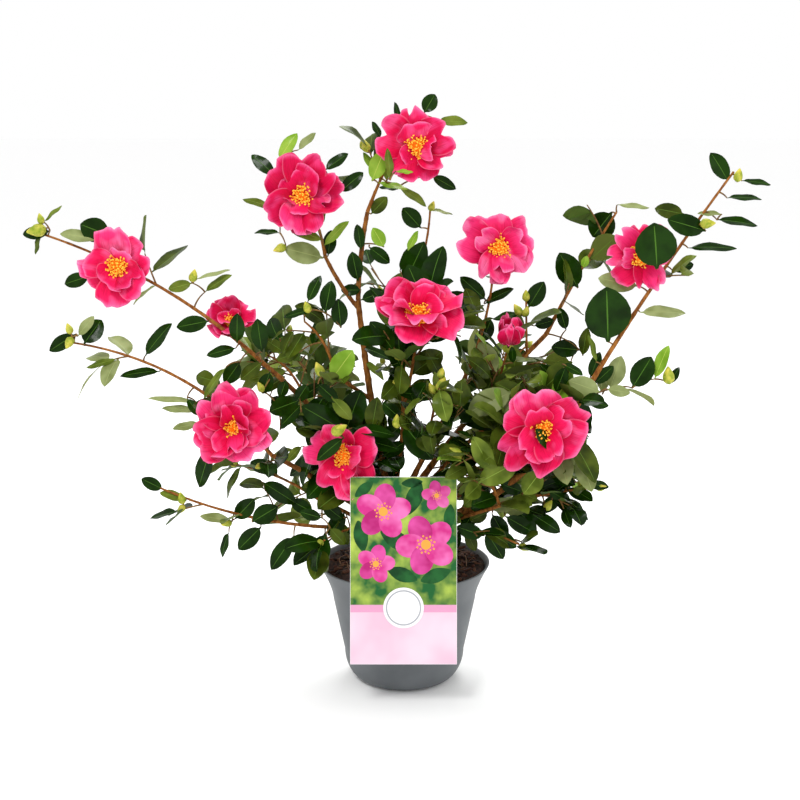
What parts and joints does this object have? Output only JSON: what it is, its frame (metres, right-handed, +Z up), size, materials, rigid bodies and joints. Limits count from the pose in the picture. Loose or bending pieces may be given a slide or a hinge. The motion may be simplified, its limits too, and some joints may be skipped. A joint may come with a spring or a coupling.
{
  "type": "potted camellia shrub",
  "caption": "Young flowering camellia shrub in a round grower's pot with a card label hung over the rim: short trunk, thin boughs, glossy leaves, pink blooms and buds.",
  "frame": {"origin": "centre of the pot's flat underside, on the surface it stands on", "axes": "+Z up along the pot's axis, -Y towards the side the label card hangs on, +X to the right seen from that side, along the crown's longest spread"},
  "size_m": [0.7156, 0.3246, 0.5822],
  "materials": {
    "pot": "satin",
    "soil": "matte",
    "label": "satin",
    "bark": "matte",
    "leaf": "satin",
    "petal": "satin",
    "stamen": "matte",
    "bud": "satin"
  },
  "bodies": {
    "root": {"bough_back_centre": "bark", "bough_back_left": "bark", "bough_back_low_left": "bark", "bough_back_low_right": "bark", "bough_back_right": "bark", "bough_bud_pair": "bark", "bough_centre": "bark", "bough_centre_front": "bark", "bough_centre_right": "bark", "bough_front_left": "bark", "bough_front_right": "bark", "bough_high_thin": "bark", "bough_inner_left": "bark", "bough_leader": "bark", "bough_leader_top": "bark", "bough_left_high": "bark", "bough_left_inner": "bark", "bough_left_low": "bark", "bough_left_mid": "bark", "bough_right_front": "bark", "bough_right_high": "bark", "bough_right_inner": "bark", "bough_right_low": "bark", "bough_right_top": "bark", "bough_upper_left": "bark", "foliage_back_centre": "leaf", "foliage_back_left": "leaf", "foliage_back_low_left": "leaf", "foliage_back_low_right": "leaf", "foliage_back_right": "leaf", "foliage_bud_pair": "leaf", "foliage_centre": "leaf", "foliage_centre_front": "leaf", "foliage_centre_right": "leaf", "foliage_front_left": "leaf", "foliage_front_right": "leaf", "foliage_high_thin": "leaf", "foliage_inner_left": "leaf", "foliage_left_high": "leaf", "foliage_left_inner": "leaf", "foliage_left_low": "leaf", "foliage_left_mid": "leaf", "foliage_right_front": "leaf", "foliage_right_high": "leaf", "foliage_right_inner": "leaf", "foliage_right_low": "leaf", "foliage_right_top": "leaf", "foliage_top": "leaf", "foliage_under_left": "leaf", "foliage_under_right": "leaf", "foliage_upper_left": "leaf", "label_card": "label", "label_tongue": "label", "pot": "pot", "soil": "soil", "trunk": "bark"}
  },
  "joints": []
}
